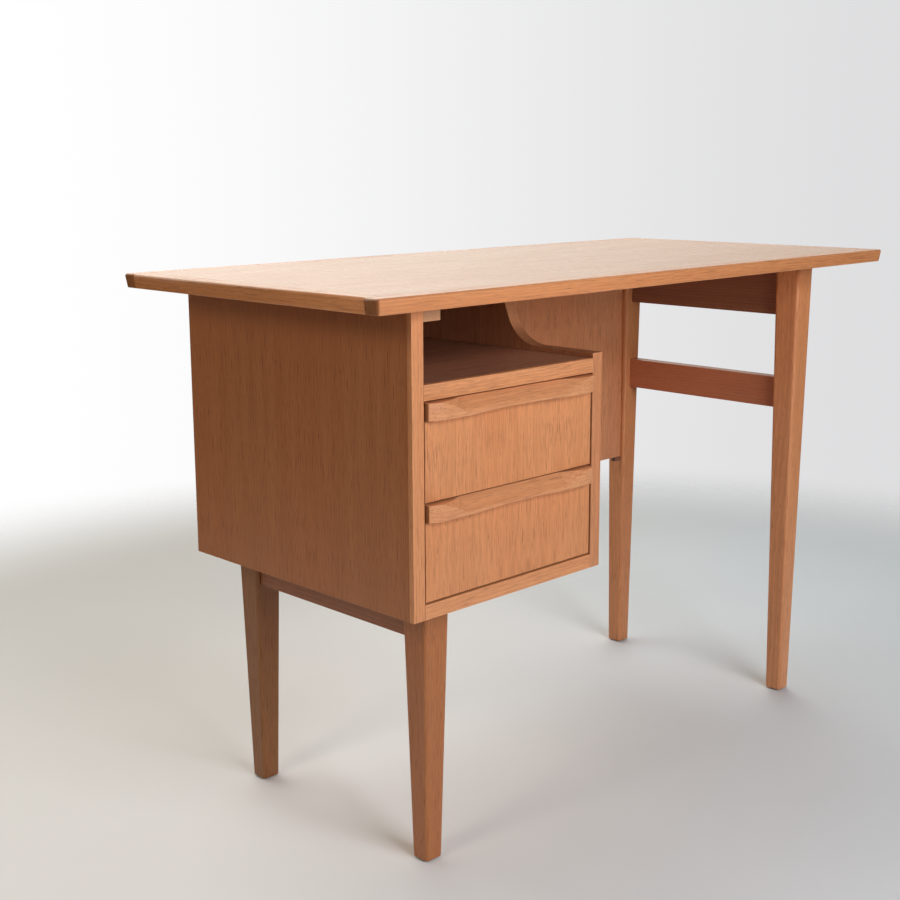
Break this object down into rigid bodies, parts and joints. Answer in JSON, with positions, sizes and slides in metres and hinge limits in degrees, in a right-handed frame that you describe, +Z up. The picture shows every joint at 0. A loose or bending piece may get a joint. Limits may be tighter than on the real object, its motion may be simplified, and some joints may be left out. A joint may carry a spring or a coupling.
{
  "type": "writing desk",
  "caption": "Free-standing wooden writing desk: thin top on tapered legs, a side cabinet with drawers under an open compartment, and a modesty panel.",
  "frame": {"origin": "on the floor, under the middle of the table top", "axes": "+X along the desk's length with the cabinet at the -X end, drawers open towards -Y, +Z up"},
  "size_m": [1.075, 0.502, 0.74],
  "materials": {
    "oak_veneer": "satin",
    "solid_oak": "satin",
    "plywood": "matt",
    "inner_wood": "matt",
    "dark_block": "matt",
    "glide_plastic": "matt",
    "screw_steel": "satin"
  },
  "bodies": {
    "desk": {"top_core_board": "oak_veneer", "top_front_lipping": "solid_oak", "top_back_lipping": "solid_oak", "top_left_lipping": "solid_oak", "top_right_lipping": "solid_oak", "cabinet_left_panel": "oak_veneer", "cabinet_right_panel": "oak_veneer", "cabinet_deck_board": "oak_veneer", "cabinet_bottom_board": "oak_veneer", "cabinet_back_panel": "plywood", "left_panel_edge_strip": "solid_oak", "right_panel_edge_strip": "solid_oak", "deck_edge_strip": "solid_oak", "bottom_board_edge_strip": "solid_oak", "top_fixing_cleat": "inner_wood", "lower_drawer_left_runner": "inner_wood", "lower_drawer_right_runner": "inner_wood", "upper_drawer_left_runner": "inner_wood", "upper_drawer_right_runner": "inner_wood", "front_left_leg": "solid_oak", "back_left_leg": "solid_oak", "front_right_leg": "solid_oak", "back_right_leg": "solid_oak", "left_side_rail": "solid_oak", "right_upper_rail": "solid_oak", "right_stretcher": "solid_oak", "leg_glides": "glide_plastic", "modesty_panel": "oak_veneer", "modesty_support_block": "dark_block", "carcass_dowels": "inner_wood", "rail_dowels": "inner_wood", "modesty_panel_dowels": "inner_wood", "top_fixing_screws": "screw_steel", "leg_fixing_screws": "screw_steel"},
    "upper_drawer": {"upper_drawer_front": "oak_veneer", "upper_drawer_handle_rail": "solid_oak", "upper_drawer_left_side": "inner_wood", "upper_drawer_right_side": "inner_wood", "upper_drawer_back": "inner_wood", "upper_drawer_bottom": "plywood"},
    "lower_drawer": {"lower_drawer_front": "oak_veneer", "lower_drawer_handle_rail": "solid_oak", "lower_drawer_left_side": "inner_wood", "lower_drawer_right_side": "inner_wood", "lower_drawer_back": "inner_wood", "lower_drawer_bottom": "plywood"}
  },
  "joints": [
    {"name": "upper_drawer_slide", "type": "slide", "parent": "desk", "child": "upper_drawer", "axis": [0, -1, 0], "range_m": [0, 0.3]},
    {"name": "lower_drawer_slide", "type": "slide", "parent": "desk", "child": "lower_drawer", "axis": [0, -1, 0], "range_m": [0, 0.3]}
  ]
}
